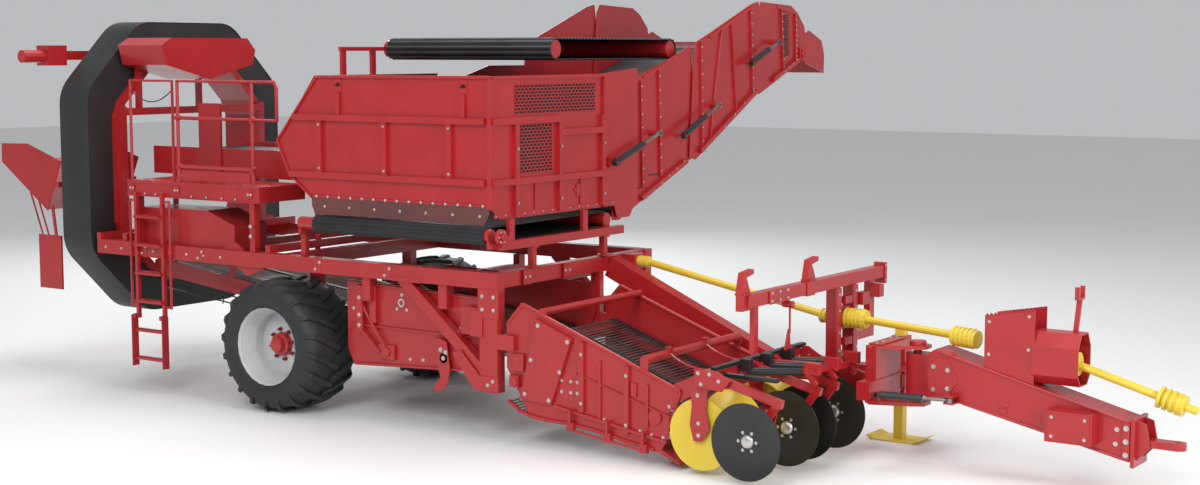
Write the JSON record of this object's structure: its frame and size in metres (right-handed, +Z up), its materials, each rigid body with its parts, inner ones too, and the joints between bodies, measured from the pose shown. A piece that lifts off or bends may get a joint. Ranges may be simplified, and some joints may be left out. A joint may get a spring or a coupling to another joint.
{
  "type": "potato harvester",
  "caption": "Trailed potato harvester with a digging channel, sorting platform, ring elevator, bunker and a hinged unloading elevator, parked on its wheels and stand.",
  "frame": {"origin": "centre of the bounding box, at the ground under the wheels", "axes": "+X forward to the drawbar, +Y to the left of the machine, +Z up"},
  "size_m": [13.0796, 6.78, 4.15],
  "materials": {
    "black": "satin black paint",
    "red": "semi-gloss red paint",
    "rim_grey": "light grey paint",
    "rubber": "dull black rubber",
    "steel": "worn bare steel",
    "tyre": "dull black tyre rubber",
    "yellow": "semi-gloss yellow paint"
  },
  "bodies": {
    "frame": {"main_frame": "red", "axle": "red", "front_boom": "red", "intake_channel": "red", "main_web": "steel", "rear_web": "steel", "rear_web_frame": "red", "bunker_side_wall": "red", "bunker_rear_wall": "red", "bunker_front_wall": "red", "bunker_base": "red", "bunker_belt": "rubber", "filling_belt": "rubber", "platform": "red", "entry_chain": "black", "ladder_upper": "red", "hydraulic_tank": "red", "ring_elevator": "rubber", "ring_frame": "red", "ring_carrier": "red", "sorting_table": "red", "sorting_belt": "rubber", "rear_chute": "red", "ring_drive": "red", "gantry": "red", "pto_shaft_rear": "yellow", "pto_shaft_middle": "yellow"},
    "wheel_right": {"tyre_right": "tyre", "rim_right": "rim_grey"},
    "wheel_left": {"tyre_left": "tyre", "rim_left": "rim_grey"},
    "stand": {"parking_stand": "yellow"},
    "digger": {"digger_channel": "red", "digger_web": "steel", "toolbar": "red"},
    "roller_right": {"ridge_roller_right": "yellow"},
    "roller_left": {"ridge_roller_left": "yellow"},
    "elevator_lower": {"elevator_lower": "red", "elevator_belt_lower": "rubber"},
    "elevator_middle": {"elevator_middle": "red", "elevator_belt_middle": "rubber"},
    "elevator_head": {"elevator_head": "red", "elevator_belt_head": "rubber"},
    "ladder": {"ladder_lower": "red"},
    "drawbar": {"drawbar": "red", "hitch_head": "red", "pto_guard": "red", "pto_shaft_front": "yellow"},
    "disc_1": {"coulter_disc_1": "black"},
    "disc_2": {"coulter_disc_2": "black"},
    "disc_3": {"coulter_disc_3": "black"},
    "disc_4": {"coulter_disc_4": "black"},
    "lift_ram_barrel": {"lift_ram_barrel": "black"},
    "lift_ram_rod": {"lift_ram_rod": "steel"},
    "knee_ram_barrel": {"knee_ram_barrel": "black"},
    "knee_ram_rod": {"knee_ram_rod": "steel"},
    "head_ram_barrel": {"head_ram_barrel": "black"},
    "head_ram_rod": {"head_ram_rod": "steel"},
    "steering_ram_barrel": {"steering_ram_barrel": "black"},
    "steering_ram_rod": {"steering_ram_rod": "steel"}
  },
  "joints": [
    {"name": "wheel_right_spin", "type": "hinge", "parent": "frame", "child": "wheel_right", "pos_m": [-2.14977, -3.01, 0.671], "axis": [0, 1, 0], "continuous": true},
    {"name": "wheel_left_spin", "type": "hinge", "parent": "frame", "child": "wheel_left", "pos_m": [-2.14977, -0.71, 0.671], "axis": [0, 1, 0], "continuous": true},
    {"name": "digger_lift", "type": "hinge", "parent": "frame", "child": "digger", "pos_m": [0.75023, -2.36, 0.95], "axis": [0, -1, 0], "range_deg": [-3, 12]},
    {"name": "disc_1_spin", "type": "hinge", "parent": "digger", "child": "disc_1", "pos_m": [3.30023, -3.24, 0.37], "axis": [0, 1, 0], "continuous": true},
    {"name": "disc_2_spin", "type": "hinge", "parent": "digger", "child": "disc_2", "pos_m": [3.30023, -2.56, 0.37], "axis": [0, 1, 0], "continuous": true},
    {"name": "disc_3_spin", "type": "hinge", "parent": "digger", "child": "disc_3", "pos_m": [3.30023, -2.24, 0.37], "axis": [0, 1, 0], "continuous": true},
    {"name": "disc_4_spin", "type": "hinge", "parent": "digger", "child": "disc_4", "pos_m": [3.30023, -1.68, 0.37], "axis": [0, 1, 0], "continuous": true},
    {"name": "roller_right_spin", "type": "hinge", "parent": "digger", "child": "roller_right", "pos_m": [2.80023, -2.89, 0.355], "axis": [0, 1, 0], "continuous": true},
    {"name": "roller_left_spin", "type": "hinge", "parent": "digger", "child": "roller_left", "pos_m": [2.80023, -1.96, 0.355], "axis": [0, 1, 0], "continuous": true},
    {"name": "steering", "type": "hinge", "parent": "frame", "child": "drawbar", "pos_m": [4.10023, -1.66, 0.8], "axis": [0, 0, 1], "range_deg": [-15, 15]},
    {"name": "stand_lift", "type": "slide", "parent": "frame", "child": "stand", "axis": [0, 0, 1], "range_m": [0, 0.36]},
    {"name": "elevator_lift", "type": "hinge", "parent": "frame", "child": "elevator_lower", "pos_m": [-0.54977, -1.01, 1.98], "axis": [1, 0, 0], "range_deg": [-12, 3]},
    {"name": "elevator_knee", "type": "hinge", "parent": "elevator_lower", "child": "elevator_middle", "pos_m": [-0.54977, 0.39, 2.57], "axis": [1, 0, 0], "range_deg": [-20, 15]},
    {"name": "elevator_head_tilt", "type": "hinge", "parent": "elevator_middle", "child": "elevator_head", "pos_m": [-0.54977, 1.79, 3.24], "axis": [1, 0, 0], "range_deg": [-25, 15]},
    {"name": "ladder_fold", "type": "hinge", "parent": "frame", "child": "ladder", "pos_m": [-3.96977, -3.242, 0.8], "axis": [1, 0, 0], "range_deg": [-175, 0]},
    {"name": "lift_ram_swing", "type": "hinge", "parent": "frame", "child": "lift_ram_barrel", "pos_m": [0.63523, -1.24, 2.5], "axis": [1, 0, 0], "range_deg": [-11.42, 3.01]},
    {"name": "lift_ram_slide", "type": "slide", "parent": "lift_ram_barrel", "child": "lift_ram_rod", "axis": [0, 0.951, 0.3091], "range_m": [-0.0328, 0.125]},
    {"name": "knee_ram_swing", "type": "hinge", "parent": "elevator_lower", "child": "knee_ram_barrel", "pos_m": [0.63523, 0.04, 2.72], "axis": [1, 0, 0], "range_deg": [-13.85, 10.44]},
    {"name": "knee_ram_slide", "type": "slide", "parent": "knee_ram_barrel", "child": "knee_ram_rod", "axis": [0, 0.9191, 0.3939], "range_m": [-0.0746, 0.0987]},
    {"name": "head_ram_swing", "type": "hinge", "parent": "elevator_middle", "child": "head_ram_barrel", "pos_m": [0.63523, 1.46, 3.47], "axis": [1, 0, 0], "range_deg": [-16.87, 10.2]},
    {"name": "head_ram_slide", "type": "slide", "parent": "head_ram_barrel", "child": "head_ram_rod", "axis": [0, 0.9337, 0.3579], "range_m": [-0.0883, 0.1458]},
    {"name": "steering_ram_swing", "type": "hinge", "parent": "frame", "child": "steering_ram_barrel", "pos_m": [3.90023, -2.02, 0.64], "axis": [0, 0, 1], "range_deg": [-9.34, 9.34]},
    {"name": "steering_ram_slide", "type": "slide", "parent": "steering_ram_barrel", "child": "steering_ram_rod", "axis": [0.9841, 0.1775, 0], "range_m": [-0.0895, 0.0895]}
  ],
  "couplings": [
    {"joint": "lift_ram_swing", "follows": "elevator_lift", "ratio": 0.89074},
    {"joint": "lift_ram_slide", "follows": "elevator_lift", "m_per_rad": -0.55954},
    {"joint": "knee_ram_swing", "follows": "elevator_knee", "ratio": 0.65005},
    {"joint": "knee_ram_slide", "follows": "elevator_knee", "m_per_rad": -0.26396},
    {"joint": "head_ram_swing", "follows": "elevator_head_tilt", "ratio": 0.63498},
    {"joint": "head_ram_slide", "follows": "elevator_head_tilt", "m_per_rad": -0.31392},
    {"joint": "steering_ram_swing", "follows": "steering", "ratio": 0.5806},
    {"joint": "steering_ram_slide", "follows": "steering", "m_per_rad": 0.31818}
  ]
}
